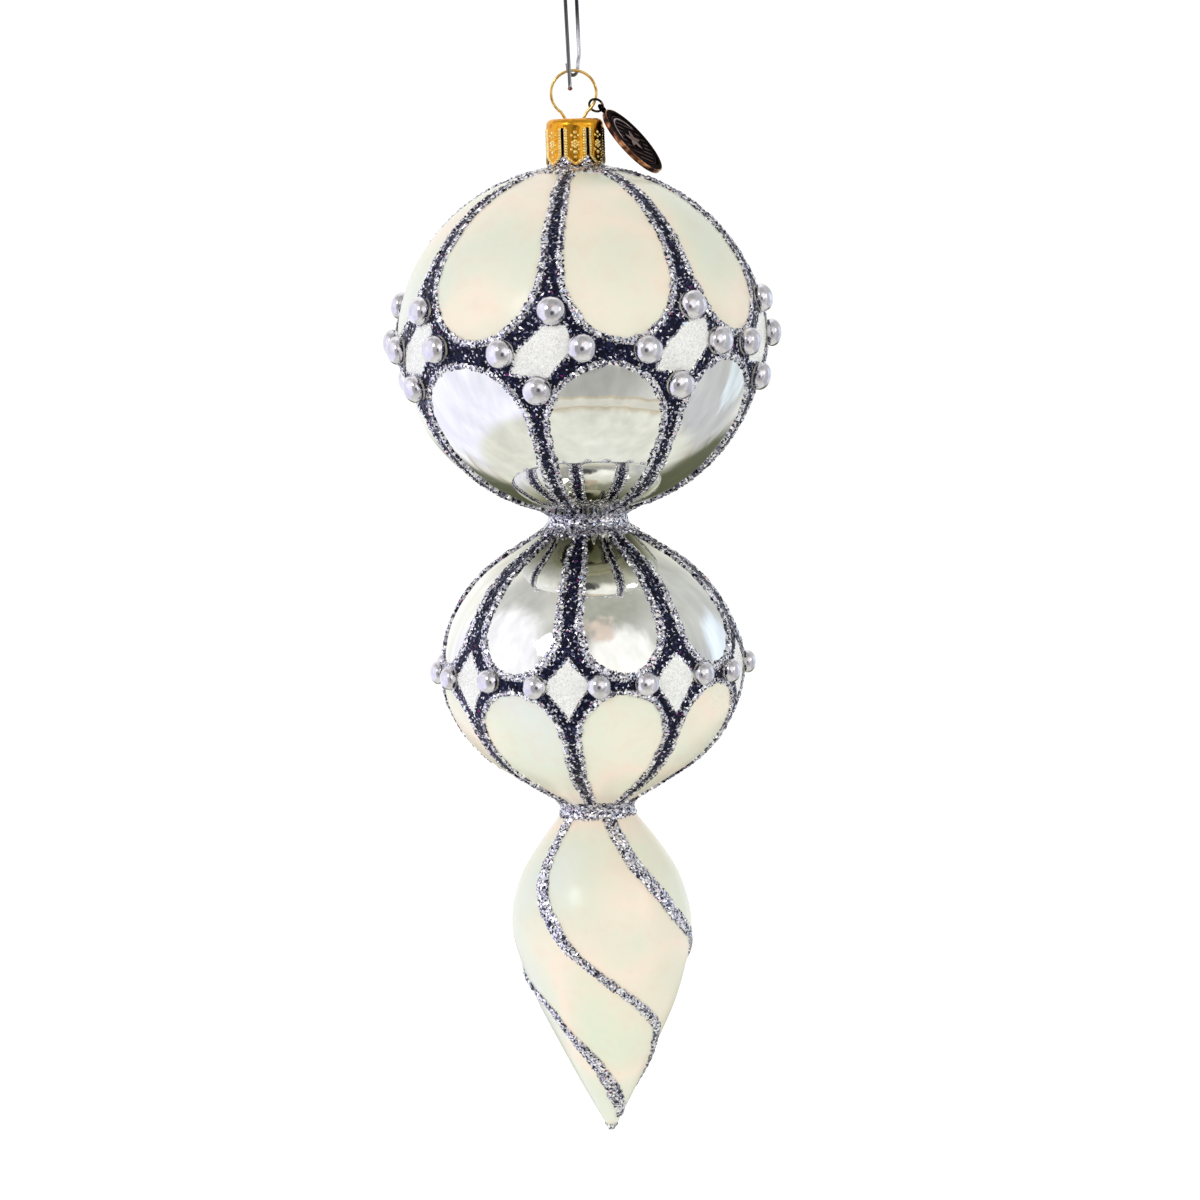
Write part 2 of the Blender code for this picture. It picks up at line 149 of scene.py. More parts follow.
CRUSTS = (
    # piece, zone, flake, material, height, height of its domed lines, unevenness, seed
    ("silver_lines", SILVER, FLAKE, "silver_glitter", 0.22, 0.3, 0.13, 11),
    ("navy_fill", NAVY, FLAKE, "navy_glitter", 0.2, 0, 0.12, 12),
    ("white_diamonds", WHITE, FINE_FLAKE, "white_glitter", 0.22, 0, 0.028, 13),
)

# Half-pearls and their glue, which is painted dark as their shadow
PEARL_RISE = 1.05  # a pearl's height as a share of its radius
PEARL_UNDERCUT = 28
PEARL_FOOT = 0.96
GLUE_LIFT = 0.05
GLUE_PROFILE = (
    # share of the pearl's radius, height
    (0, -0.3), (0.94, -0.3), (0.97, 0), (0.91, 0.4), (0, 0.45),
)

# Wire hook
HOOK_WIRE = 0.8
CROOK_R = 5.4
CROOK_HEIGHT = 80
CROOK_YAW = math.radians(13.4)
CURL_R = 1.6
CURL_YAW = math.radians(40)
CURL_END = (-0.12, -0.15, 0.9)
BACK_LEG = ((1.3, 4.5, 72), (1.4, 3.1, 64.5), (1.4, 2.2, 60.8), (1.15, 1.6, 59.3))
FRONT_LEG = ((-1, -5, 68), (-0.7, -4.6, 53.9))
BEAD_LENGTH = 0.75
BEAD_FRONT = -3  # the bead is in front of this, the other low end behind
BEAD_SHARES = (1.15, 1.3, 1.35, 1.25, 0.95, 0.45)

# Spring wire hanger
HANGER_WIRE = 0.65
LOOP_R = 4.825
LOOP_HEIGHT = 52.65
LOOP_ENDS = -54
HANGER_LEG = (
    (2.35, 47.95), (1.95, 47.2), (1.85, 45.6), (2.1, 42.5), (2.9, 38), (3.45, 32), (3.5, 26),
)

# Stamped cap
CAP_TOP = 47.3
CAP_TIPS = 37.5
CAP_DISC_R = 4.7
CAP_SHOULDER_R = 1.45
CAP_SKIRT_R = 6.3
CAP_PETALS = 7
PETAL_SLOT = 0.8
SLOT_TOP = 45.3
SLOT_BOTTOM = 39.4
PETAL_TAPER = 0.65
RELIEF = 0.3
CAP_SINK = 0.15  # how far the ground of the stamping lies under the skirt's radius
CAP_BACK = -0.32  # the cap's inside, counted from that ground
CAP_GROUND = 0.35  # the ground's place on the colours of the relief
ROPE_INSET = 0.42  # the rope runs along a petal's edge, and the lip is the edge itself
ROPE_HALF = 0.27
ROPE_PITCH = 0.56
LIP_HALF = 0.16
FLOWER = 41.9  # the height of each petal's flower
FLOWER_R = 0.62
PETAL_BOSSES = (
    # across the petal, height, radius
    *(
        (FLOWER_R * math.cos(angle), FLOWER + FLOWER_R * math.sin(angle), 0.3)
        for angle in map(math.radians, range(30, 390, 60))
    ),
    (0, FLOWER, 0.27),
    (0, 44.3, 0.36), (-0.75, 43.7, 0.26), (0.75, 43.7, 0.26), (0, 43.35, 0.24),
    (0, 40.2, 0.42), (-0.85, 40.7, 0.24), (0.85, 40.7, 0.24), (0, 39.15, 0.26),
)

# Jump ring and tag
RING_R = 1.5
RING_WIRE = 0.54
RING_ANGLE = -30
RING_TURN = 55
RING_LIFT = 0.6
TAG_HALF = (8.65, 6.35, 0.55)  # half its length, width and thickness
TAG_LEAN = 49
TAG_TURN = 70
TAG_EYE_REACH = 0.8
TAG_DEPTH = 0.22
TAG_STEPS = 300
TAG_ROWS = 74
TAG_STAR = 2.9
TAG_PLAIN = 0.3  # the back's and the edge's place on the colours of the relief
LUG_R = 0.92
LUG_WIRE = 0.6
LUG_PLAIN = 0.15

# Stage: places and sizes in metres, lamps' power in watts, lens in millimetres
CAMERA_PLACE = Vector((2.05, -790, EQUATOR + 42)) * MM
CAMERA_LENS = 110.1
CAMERA_SENSOR = 36
CAMERA_DOWN = 7.1  # degrees below the level
CAMERA_ROLL = -1.9
FLOOR_DROP = 0.75
FLOOR_SIZE = 8
LAMP_AIM = Vector((0, 0, -0.12))
LAMPS = (
    # name, place, size, power, colour
    ("left_lamp", (-0.62, -0.85, 0.34), 0.42, 1.4, (1, 0.98, 1)),
    ("right_lamp", (0.80, -0.45, 0.22), 0.30, 0.8, (1, 0.97, 0.94)),
)
PALE = (1.08, 1.08, 1.06)
STUDIO_HAZE = (0.55, 0.73)  # how much the studio's brightness wanders, and its least
STUDIO_WAVER = 0.07  # how much the edges of its patches wander


def to_world(points):
    moved = np.array(points, float)
    moved[:, 2] += EQUATOR
    return moved * MM


# --- glass outline ---


def arc_rows(radius, halves, height, span, steps):
    angles = np.radians(np.linspace(*span, steps))
    half = np.where(angles > 0, halves[0], halves[1])
    return np.column_stack([radius * np.cos(angles), height + half * np.sin(angles)])


def smooth_points(points, steps):
    """Points along a Catmull-Rom curve through the given points, both ends included."""
    knots = np.array(points, float)
    knots = np.vstack([2 * knots[0] - knots[1], knots, 2 * knots[-1] - knots[-2]])
    made = []
    for before, start, end, after in zip(knots, knots[1:], knots[2:], knots[3:]):
        t = (np.arange(steps) / steps)[:, None]
        bend = 2 * before - 5 * start + 4 * end - after
        twist = 3 * start - before - 3 * end + after
        made.append(0.5 * (2 * start + (end - before) * t + bend * t**2 + twist * t**3))
    return np.vstack([*made, knots[-2]])


def glass_outline():
    """The outside of the glass, (radius, height), finely stepped from the neck's rim to the tip."""
    upper = arc_rows(*UPPER_BALL, 120)
    lower = arc_rows(*LOWER_BALL, 90)
    neck = smooth_points([*NECK_FLARE, upper[0]], 6)
    waist = smooth_points([upper[-3], *UPPER_WAIST, lower[2]], 8)
    drop = smooth_points([lower[-3], *LOWER_WAIST, *DROP, TIP[0]], 8)
    return np.vstack(
        [(NECK_R, NECK_TOP), neck[:-1], upper[:-3], waist[:-1], lower[2:-3], drop, TIP[1]]
    )


OUTLINE = glass_outline()
LENGTHS = np.concatenate([[0], np.cumsum(np.linalg.norm(np.diff(OUTLINE, axis=0), axis=1))])


def radius_at(height):
    return np.interp(-np.asarray(height), -OUTLINE[:, 1], OUTLINE[:, 0])


def length_at(height):
    return np.interp(-np.asarray(height), -OUTLINE[:, 1], LENGTHS)


def outline_at(length):
    """The outline's radius and height, that far along it."""
    return [np.interp(length, LENGTHS, column) for column in OUTLINE.T]


def per_degree(height):
    """Millimetres round the glass for each degree."""
    return radius_at(height) * math.pi / 180


def drift(height):
    """How far the drawn tip has wandered towards +X at this height."""
    most, start, end = TIP_DRIFT
    share = np.clip((start - height) / (start - end), 0, 1)
    return most * share**2 * (3 - 2 * share)


def surface(angle, length, lift):
    """Points that stand lift above the glass, at these angles and lengths along its outline."""
    step = 0.05
    radius, height = outline_at(length)
    next_radius, next_height = outline_at(length + step)
    radial, down = next_radius - radius, next_height - height
    size = np.maximum(np.hypot(radial, down), 1e-9)
    out = radius - down / size * lift
    up = height + radial / size * lift
    turn = np.radians(angle)
    return np.column_stack([out * np.sin(turn) + drift(height), -out * np.cos(turn), up])


# --- meshes ---


def make_mesh(name, points, faces, smooth=True):
    mesh = bpy.data.meshes.new(name)
    mesh.from_pydata(to_world(points).tolist(), [], [tuple(face) for face in faces])
    mesh.validate()
    if smooth:
        mesh.shade_smooth()
    return mesh


def outwards(mesh):
    """Turns every face of a closed mesh outwards."""
    shape = bmesh.new()
    shape.from_mesh(mesh)
    bmesh.ops.recalc_face_normals(shape, faces=shape.faces)
    shape.to_mesh(mesh)
    shape.free()
    return mesh


def add_numbers(mesh, name, domain, values):
    """Gives every point or face of a mesh a number that its material reads."""
    own = mesh.attributes.new(name, "FLOAT", domain)
    own.data.foreach_set("value", values.astype(np.float32))


def add_object(name, data):
    made = bpy.data.objects.new(name, data)
    bpy.context.scene.collection.objects.link(made)
    return made


def add_piece(name, mesh, materials, body, slot, *nodes):
    piece = add_object(name, mesh)
    for material in materials:
        mesh.materials.append(material)
    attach(piece, body)
    if nodes:
        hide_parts(*nodes)


def add_solid(name, shape, material, body, slot, *nodes):
    """A closed piece of one material from its points and faces."""
    add_piece(name, outwards(make_mesh(name, *shape)), (material,), body, slot, *nodes)


def band(high, low, count):
    """The faces between two rings of points that start at these indices."""
    turns = [(j, (j + 1) % count) for j in range(count)]
    return [(high + j, low + j, low + k, high + k) for j, k in turns]


def turned(profile, segments):
    """A profile that starts and ends on the axis, turned about it: points and faces."""
    ring = np.radians(np.arange(segments) * 360 / segments)
    inner = profile[1:-1]
    rows = [
        np.column_stack([radius * np.sin(ring), -radius * np.cos(ring), np.full(segments, height)])
        for radius, height in inner
    ]
    points = np.vstack([[(0, 0, profile[0][1])], *rows, [(0, 0, profile[-1][1])]])
    faces = []
    last = len(points) - 1
    for j in range(segments):
        k = (j + 1) % segments
        faces.append((0, 1 + j, 1 + k))
        faces.append((last, last - segments + k, last - segments + j))
    for i in range(len(inner) - 1):
        top = 1 + i * segments
        faces += band(top, top + segments, segments)
    return points, faces


# --- materials ---


def new_material(name, roughness, metallic=0, **extra):
    """A Principled material; extra holds its other sockets, with underscores for spaces."""
    material = bpy.data.materials.new(name)
    material.use_nodes = True
    inputs = shader_of(material).inputs
    inputs["Roughness"].default_value = roughness
    inputs["Metallic"].default_value = metallic
    for socket, value in extra.items():
        inputs[socket.replace("_", " ")].default_value = value
    return material


def shader_of(material):
    return material.node_tree.nodes["Principled BSDF"]


def node(owner, kind, **values):
    """A new shader node of a material or world; values go to its sockets or its settings."""
    made = owner.node_tree.nodes.new("ShaderNode" + kind)
    for name, value in values.items():
        if name in made.inputs:
            made.inputs[name].default_value = value
        else:
            setattr(made, name, value)
    return made


def link(owner, source, target):
    owner.node_tree.links.new(source, target)


def feed(owner, socket, value):
    """Gives a socket a link, a number or a colour."""
    if isinstance(value, bpy.types.NodeSocket):
        link(owner, value, socket)
    elif isinstance(value, tuple):
        socket.default_value = (*value, 1)
    else:
        socket.default_value = value


def ramp(owner, source, stops, constant=False):
    """A colour ramp fed by source; stops are (position, colour)."""
    made = node(owner, "ValToRGB")
    made.color_ramp.interpolation = "CONSTANT" if constant else "LINEAR"
    elements = made.color_ramp.elements
    while len(elements) < len(stops):
        elements.new(0.5)
    for element, (position, colour) in zip(elements, stops):
        element.position = position
        element.color = (*colour, 1)
    link(owner, source, made.inputs["Fac"])
    return made.outputs["Color"]


def noise(owner, scale, detail=2, stretch=(1, 1, 1), space="Object"):
    """Noise in an object's own coordinates, or over a world's directions."""
    place = node(owner, "TexCoord")
    mapping = node(owner, "Mapping", Scale=stretch)
    made = node(owner, "TexNoise", Scale=scale, Detail=detail)
    link(owner, place.outputs[space], mapping.inputs["Vector"])
    link(owner, mapping.outputs["Vector"], made.inputs["Vector"])
    return made.outputs["Fac"]


def math_node(owner, operation, *values, kind="Math"):
    made = node(owner, kind, operation=operation)
    for socket, value in zip(made.inputs, values):
        feed(owner, socket, value)
    return made.outputs["Value"]


def map_range(owner, source, low, high, steps="LINEAR"):
    """0 where source is low, 1 where it is high."""
    made = node(owner, "MapRange", interpolation_type=steps)
    made.inputs["From Min"].default_value = low
    made.inputs["From Max"].default_value = high
    link(owner, source, made.inputs["Value"])
    return made.outputs["Result"]


def mix_colours(owner, share, first, second, blend="MIX"):
    mix = node(owner, "Mix", data_type="RGBA", blend_type=blend)
    for index, value in ((0, share), (6, first), (7, second)):
        feed(owner, mix.inputs[index], value)
    return mix.outputs[2]


def paint(material, colour, shade=None):
    """Gives a material its colour, multiplied by a shade."""
    if shade is not None:
        colour = mix_colours(material, 1, colour, shade, "MULTIPLY")
    link(material, colour, shader_of(material).inputs["Base Color"])


def add_bump(material, source, strength, distance):
    bump = node(material, "Bump", Strength=strength, Distance=distance)
    link(material, source, bump.inputs["Height"])
    link(material, bump.outputs["Normal"], shader_of(material).inputs["Normal"])


NOISY = {
    # roughness, metallic, the noise's settings, (position, colour) stops, other sockets
    # the glass neck under the cap, painted near black as the cap's shade
    "neck_painted_shade": (0.25, 0.3, (600,), [(0.4, (0.008, 0.007, 0.007)), (0.65, (0.05, 0.045, 0.04))]),
    "wire_gold": (
        0.15, 1, (700, 3), [(0.32, (0.42, 0.22, 0.05)), (0.55, (0.95, 0.66, 0.24))],
    ),
    "silver_pearl": (
        0.13, 1, (400,),
        [(0.35, (0.66, 0.64, 0.69)), (0.5, (0.75, 0.73, 0.79)), (0.66, (0.84, 0.82, 0.86))],
        {"Coat_Weight": 0.25, "Coat_Roughness": 0.04},
    ),
    # the glue round the pearls, painted dark as their shadow on the glass
    "glue_painted_shadow": (
        0.2, 0, (500, 1), [(0.4, (0.20, 0.20, 0.17)), (0.6, (0.46, 0.45, 0.38))],
        {"Coat_Weight": 0.3},
    ),
    "hook_steel": (  # with darker drawn streaks along it
        0.2, 1, (420, 2, (1, 1, 0.12)),
        [(0.36, (0.03, 0.03, 0.035)), (0.5, (0.16, 0.16, 0.17)), (0.66, (0.5, 0.5, 0.52))],
    ),
    "hook_bead": (0.3, 0.8, (1500,), [(0.4, (0.035, 0.02, 0.02)), (0.62, (0.30, 0.13, 0.08))]),
    # the jump ring: black, with gold specks painted on it as glints
    "black_with_painted_glints": (
        0.22, 0.9, (900,), [(0.52, (0.012, 0.011, 0.010)), (0.64, (0.30, 0.20, 0.07))],
    ),
    "worn_copper": (
        0.3, 1, (500,),
        [(0.36, (0.03, 0.015, 0.012)), (0.48, (0.26, 0.10, 0.05)), (0.60, (0.78, 0.38, 0.18))],
    ),
}


def noisy(name):
    """A material of the table above, whose colour follows noise alone."""
    roughness, metallic, settings, stops, *extra = NOISY[name]
    material = new_material(name, roughness, metallic, **(extra[0] if extra else {}))
    paint(material, ramp(material, noise(material, *settings), stops))
    return material


def lacquer_material():
    """Cream lacquer with a faint mother-of-pearl shift between peach, green and grey."""
    material = new_material("cream_lacquer", 0.36, Coat_Weight=0.35, Coat_Roughness=0.11)
    stops = [
        (0.30, (0.73, 0.76, 0.70)), (0.42, (0.74, 0.76, 0.63)), (0.49, (0.79, 0.77, 0.63)),
        (0.56, (0.88, 0.77, 0.63)), (0.63, (0.80, 0.76, 0.61)), (0.72, (0.72, 0.77, 0.60)),
    ]
    colour = ramp(material, noise(material, 30, 1), stops)
    stops = [(0.34, (0.97, 1, 0.98)), (0.5, (1, 1, 1)), (0.66, (1, 0.965, 0.95))]
    paint(material, colour, ramp(material, noise(material, 260, 3), stops))
    add_bump(material, noise(material, 60, 1), 0.12, 0.001)
    return material


MIRROR_PAINTED_SHADE = (
    # height, colour: painted shade that darkens the silvered glass towards the waist, standing in
    # for dark reflections there
    (-60, (1, 1, 1)), (-51, (0.95, 0.95, 0.92)), (-45, (0.62, 0.62, 0.54)),
    (-40, (0.20, 0.20, 0.15)), (-36, (0.20, 0.20, 0.14)), (-33.6, (0.42, 0.42, 0.33)),
    (-30, (0.86, 0.86, 0.78)), (-26, (1, 1, 1)),
)


def mirror_material():
    """Silvered glass: clear, slightly wavy and a little yellow, with painted shade towards the
    waist.
    """
    material = new_material("silvered_glass", 0.04, 1)
    tarnish = noise(material, 45, 2)
    colour = ramp(material, tarnish, [(0.35, (0.86, 0.86, 0.81)), (0.65, (0.90, 0.90, 0.88))])
    place = node(material, "TexCoord")
    split = node(material, "SeparateXYZ")
    link(material, place.outputs["Object"], split.inputs["Vector"])
    low, high = MIRROR_PAINTED_SHADE[0][0], MIRROR_PAINTED_SHADE[-1][0]
    ends = ((low + EQUATOR) * MM, (high + EQUATOR) * MM)
    level = map_range(material, split.outputs["Z"], *ends)
    stops = [((height - low) / (high - low), shade) for height, shade in MIRROR_PAINTED_SHADE]
    # the silvering's colour, darkened by the painted shade of its height
    paint(material, colour, ramp(material, level, stops))
    add_bump(material, noise(material, 42, 1, (1, 1, 1.5)), 0.3, 0.0012)
    return material


def by_attribute(material, name, stops, constant=False):
    """Colours picked by a number that the mesh carries."""
    own = node(material, "Attribute", attribute_name=name)
    return ramp(material, own.outputs["Fac"], stops, constant)


GLITTER = {
    # roughness, metallic, (position, colour) stops
    "silver_glitter": (0.26, 0.85, (
        (0, (0.02, 0.02, 0.04)), (0.18, (0.12, 0.12, 0.17)), (0.35, (0.40, 0.39, 0.47)),
        (0.54, (0.74, 0.73, 0.80)), (0.72, (1, 0.99, 1)), (0.965, (0.95, 0.62, 0.72)),
        (0.978, (0.55, 0.68, 1)), (0.99, (1, 1, 1)),
    )),
    "navy_glitter": (0.3, 0.7, (
        (0, (0.002, 0.002, 0.012)), (0.5, (0.004, 0.006, 0.030)), (0.74, (0.012, 0.015, 0.065)),
        (0.86, (0.09, 0.09, 0.18)), (0.915, (0.48, 0.47, 0.58)), (0.955, (0.95, 0.94, 1)),
        (0.994, (0.35, 0.02, 0.25)), (0.998, (0.05, 0.3, 0.28)),
    )),
    "white_glitter": (0.4, 0.1, (
        (0, (0.70, 0.70, 0.67)), (0.2, (0.79, 0.80, 0.77)), (0.5, (0.86, 0.86, 0.83)),
        (0.78, (0.93, 0.93, 0.91)), (0.93, (0.92, 0.86, 0.85)), (0.965, (0.82, 0.88, 0.84)),
    )),
}


def glitter(name):
    """Every flake of the mesh carries its own random number, which picks its colour."""
    roughness, metallic, stops = GLITTER[name]
    material = new_material(name, roughness, metallic)
    paint(material, by_attribute(material, "flake", stops, constant=True))
    return material


def cap_material():
    """Gold lacquer, painted paler on the stamped pattern's raised parts as highlights, and darker
    in its hollows and inside as shade.
    """
    material = new_material("cap_gold", 0.22, 1)
    stops = [
        (0, (0.52, 0.20, 0.008)), (0.34, (0.76, 0.33, 0.018)),
        (0.42, (1, 0.60, 0.09)), (0.8, (1, 0.90, 0.52)),
    ]
    # painted highlight on the raised pattern, painted shade in its hollows and on the cap's inside
    tone = by_attribute(material, "relief", stops)
    wear = noise(material, 900, 3)
    shade = ramp(material, wear, [(0.36, (0.80, 0.68, 0.52)), (0.5, (1, 1, 1))])
    paint(material, tone, shade)
    add_bump(material, wear, 0.25, 0.0003)
    return material


def tag_material():
    """Dark bronze, worn to copper where it stands out, with a pale painted highlight on the
    crescent.
    """
    material = new_material("dark_bronze", 0.4, 1, Specular_Tint=(0.5, 0.48, 0.48, 1))
    # the palest colour, at 1, is the crescent's painted highlight
    stops = [
        (0, (0.004, 0.003, 0.004)), (0.40, (0.006, 0.004, 0.005)), (0.66, (0.15, 0.11, 0.11)),
        (0.86, (0.36, 0.28, 0.25)), (1, (0.85, 0.84, 0.80)),
    ]
    tone = by_attribute(material, "relief", stops)
    worn = noise(material, 600)
    paint(material, tone, ramp(material, worn, [(0.4, (0.6, 0.55, 0.55)), (0.62, (1, 1, 1))]))
    return material


# --- glass ---


def add_glass():
    lengths = np.arange(0, LENGTHS[-1], GLASS_ROW)
    rows = np.column_stack(outline_at(lengths))
    floor = NECK_TOP - NECK_DEPTH
    inner = NECK_R - NECK_WALL
    inside = [(0, floor), (inner, floor), (inner, floor + NECK_DEPTH / 2), (inner, NECK_TOP)]
    profile = [*inside, *rows.tolist(), (0, TIP[1][1])]
    points, faces = turned(profile, GLASS_SEGMENTS)
    points[:, 0] += drift(points[:, 2])
    mesh = outwards(make_mesh("glass_shell", points, faces))
    high, low = (edge + EQUATOR for edge in SILVERED)
    for face in mesh.polygons:
        neck = face.center.z > (NECK_FLARE[0][1] + EQUATOR) * MM
        face.material_index = 2 if neck else int(low * MM < face.center.z < high * MM)
    # the neck takes the near-black painted shade of the cap
    finishes = (lacquer_material(), mirror_material(), noisy("neck_painted_shade"))
    add_piece("glass_shell", mesh, finishes, "glass", "lacquered_glass", "glass_body")


# --- glitter ---


def turn_between(angle, other):
    """Signed degrees from other to angle, within half a turn."""
    return (angle - other + 180) % 360 - 180


def nearest_turn(angle, middles):
    gaps = np.stack([turn_between(angle, middle) for middle in middles])
    return np.take_along_axis(gaps, np.abs(gaps).argmin(axis=0)[None], axis=0)[0]


def petal_gap(angle, height, stems, widths, belly, end):
    """Millimetres from the nearest petal's edge, negative inside it.

    A petal fills the space between two stems and closes in a half-ellipse from belly to end.
    """
    stems = np.sort(np.asarray(stems) % 360)
    starts = np.concatenate([stems, stems[:1] + 360])
    turned_angle = (angle - stems[0]) % 360 + stems[0]
    index = np.clip(np.searchsorted(starts, turned_angle, side="right") - 1, 0, len(stems) - 1)
    middle = (starts[index] + starts[index + 1]) / 2
    span = (starts[index + 1] - starts[index]) / 2
    degree = per_degree(height)
    half = np.maximum(degree * span - np.interp(height, *zip(*sorted(widths))) / 2, LEAST_HALF)
    across = np.abs(turned_angle - middle) * degree
    share = np.clip((height - belly) / (end - belly), 0, None)
    reach = np.sqrt((across / half) ** 2 + share**2)
    slope = np.sqrt((across / half**2) ** 2 + (share / (end - belly)) ** 2)
    return (reach - 1) / np.maximum(slope / np.maximum(reach, 1e-6), 1e-6)


def polygon_gap(across, up, corners):
    """Millimetres outside a convex polygon given clockwise, negative inside it."""
    gaps = []
    for (x0, z0), (x1, z1) in zip(corners, corners[1:] + corners[:1]):
        size = math.hypot(x1 - x0, z1 - z0)
        gaps.append(((x1 - x0) * (up - z0) - (z1 - z0) * (across - x0)) / size)
    return np.max(gaps, axis=0)


def wobble(angle, height, size):
    """A slow unevenness of a hand-drawn edge."""
    turn = np.radians(angle)
    return size * (
        np.sin(7 * turn + height * 0.9)
        + np.sin(19 * turn - height * 0.55)
        + np.sin(height * 1.9 + 31 * turn)
    )


def moved_by(angles, turn):
    return [angle + turn for angle in angles]


PETALS = (
    # stems beside the diamonds, their widths by height, the petals' belly and end, and the
    # silver line's width by height
    (
        moved_by(UPPER_DIAMONDS, 3), ((20, 4.9), (28, 4.1), (32, 3.5), (36, 3)),
        20, 2.4, ((18, 1.45), (35, 0.95)),
    ),
    (
        moved_by(UPPER_DIAMONDS, -2.6), ((-18, 4.4), (-25, 4.2), (-30, 3.8), (-35, 3)),
        -18, -3.5, ((-35, 0.9), (-18, 1.3)),
    ),
    (
        moved_by(LOWER_DIAMONDS, 0.9), ((-56, 6), (-50, 5.4), (-46, 4.8), (-42, 3.4)),
        -57, -68, ((-57, 1.7), (-43, 0.95)),
    ),
    (
        moved_by(LOWER_DIAMONDS, 0.3), ((-83, 4.1), (-88, 4), (-93, 3.4), (-98, 2.6)),
        -83.5, -72.6, ((-98, 0.75), (-83, 1.15)),
    ),
)


def ball_zones(angle, height):
    """The glitter of both balls: each point's zone and how far up the domed line it stands."""
    zone = np.full(angle.shape, NAVY)
    ridge = np.zeros(angle.shape)
    uneven = wobble(angle, height, BALL_WOBBLE)
    upper = height > PATTERNS_MEET
    for stems, widths, belly, end, silvers in PETALS:
        here = upper if belly > PATTERNS_MEET else ~upper
        gap = petal_gap(angle, height, stems, widths, belly, end) + uneven
        silver = np.interp(height, *zip(*silvers))
        inside = here & (gap < 0)
        line = here & (gap >= 0) & (gap < silver) & (zone == NAVY)
        zone[line] = SILVER
        ridge[line] = 1 - (2 * gap[line] / silver[line] - 1) ** 2
        zone[inside] = BARE
    for middles, corners, centre, side in (
        (UPPER_DIAMONDS, UPPER_WHITE, 0, upper),
        (LOWER_DIAMONDS, LOWER_WHITE, LOWER_WHITE_HEIGHT, ~upper),
    ):
        across = nearest_turn(angle, middles) * per_degree(centre)
        gap = polygon_gap(across, height - centre, corners) + uneven
        zone[side & (gap < 0)] = WHITE
        edge = side & (gap >= 0) & (gap < DIAMOND_EDGE) & (zone == NAVY)
        zone[edge] = SILVER
    return zone, ridge


def drop_zones(angle, height):
    """The spirals of the drop and the bead of glitter on its tip."""
    zone = np.full(angle.shape, BARE)
    ridge = np.zeros(angle.shape)
    degree = per_degree(height)
    for path, widths, end in SPIRALS:
        line_heights, turns = smooth_points(sorted(path), 6).T
        middle = np.interp(height, line_heights, turns)
        above, below = (np.interp(height + step, line_heights, turns) for step in (0.5, -0.5))
        half = np.interp(height, *zip(*sorted(widths))) / 2 + wobble(angle, height, SPIRAL_WOBBLE)
        across = np.abs(turn_between(angle, middle)) * degree
        gap = across / np.sqrt(1 + ((above - below) * degree) ** 2)
        here = (gap < half) & (height > end)
        zone[here] = SILVER
        ridge[here] = 1 - (gap[here] / half[here]) ** 2
    zone[height < TIP_BEAD] = SILVER
    return zone, ridge


def zones(angle, height):
    """The zone of every point of the glass, and how far up a domed line it stands."""
    zone, ridge = ball_zones(angle, height)
    drop_zone, drop_ridge = drop_zones(angle, height)
    below = height < COLLARS[2][0]
    zone = np.where(below, drop_zone, zone)
    ridge = np.where(below, drop_ridge, ridge)
    for low, high in COLLARS:
        edge = wobble(angle, height, COLLAR_WOBBLE)
        here = (height > low + edge) & (height < high - edge)
        zone[here] = SILVER
        ridge[here] = COLLAR_DOME
    zone[height > COLLARS[0][1]] = BARE
    return zone, ridge


def flake_net(flake, top, bottom, dice):
    """A net of jittered points between two heights of the glass: angles, lengths and triangles."""
    rows = np.arange(length_at(top), length_at(bottom), flake * FLAKE_ROW)
    girths = 2 * math.pi * outline_at(rows)[0]
    counts = np.maximum(6, np.round(girths / flake)).astype(int)
    offsets = dice.random(len(rows))
    starts = np.concatenate([[0], np.cumsum(counts)])
    angles, lengths, triangles = [], [], []
    for row, count, offset in zip(rows, counts, offsets):
        jitter = dice.uniform(-JITTER_ROUND, JITTER_ROUND, count)
        angles.append((np.arange(count) + offset + jitter) * 360 / count)
        lengths.append(row + dice.uniform(-JITTER_DOWN, JITTER_DOWN, count) * flake)
    for i in range(len(rows) - 1):
        above, below = counts[i], counts[i + 1]
        top, low = starts[i], starts[i + 1]
        j = np.arange(above)
        k = np.ceil((j + 1 + offsets[i]) / above * below - offsets[i + 1]).astype(int) - 1
        triangles.append(np.column_stack([top + j, low + k % below, top + (j + 1) % above]))
        k = np.arange(below)
        j = np.floor((k + 1 + offsets[i + 1]) / below * above - offsets[i]).astype(int)
        triangles.append(np.column_stack([low + k, low + (k + 1) % below, top + j % above]))
    return np.concatenate(angles), np.concatenate(lengths), np.vstack(triangles)


def closed_shell(name, top_points, low_points, faces, smooth=True):
    """A closed crust between two matching nets of points."""
    count = len(top_points)
    faces = np.asarray(faces)
    width = faces.shape[1]
    edges = np.vstack([faces[:, [i, (i + 1) % width]] for i in range(width)])
    single = ~np.isin(edges[:, 0] * count + edges[:, 1], edges[:, 1] * count + edges[:, 0])
    rim = edges[single]
    walls = np.column_stack([rim[:, 1], rim[:, 0], rim[:, 0] + count, rim[:, 1] + count])
    every = [*faces.tolist(), *(faces[:, ::-1] + count).tolist(), *walls.tolist()]
    return make_mesh(name, np.vstack([top_points, low_points]), every, smooth)


def flake_shell(name, net, kept, lift, dice):
    """The kept triangles as a closed crust of flat flakes on the glass."""
    angles, lengths, triangles = net
    used, inverse = np.unique(triangles[kept], return_inverse=True)
    top_points = surface(angles[used], lengths[used], lift[used])
    low_points = surface(angles[used], lengths[used], CRUST_FOOT)
    mesh = closed_shell(name, top_points, low_points, inverse.reshape(-1, 3), smooth=False)
    add_numbers(mesh, "flake", "FACE", dice.random(len(mesh.polygons)))
    return mesh


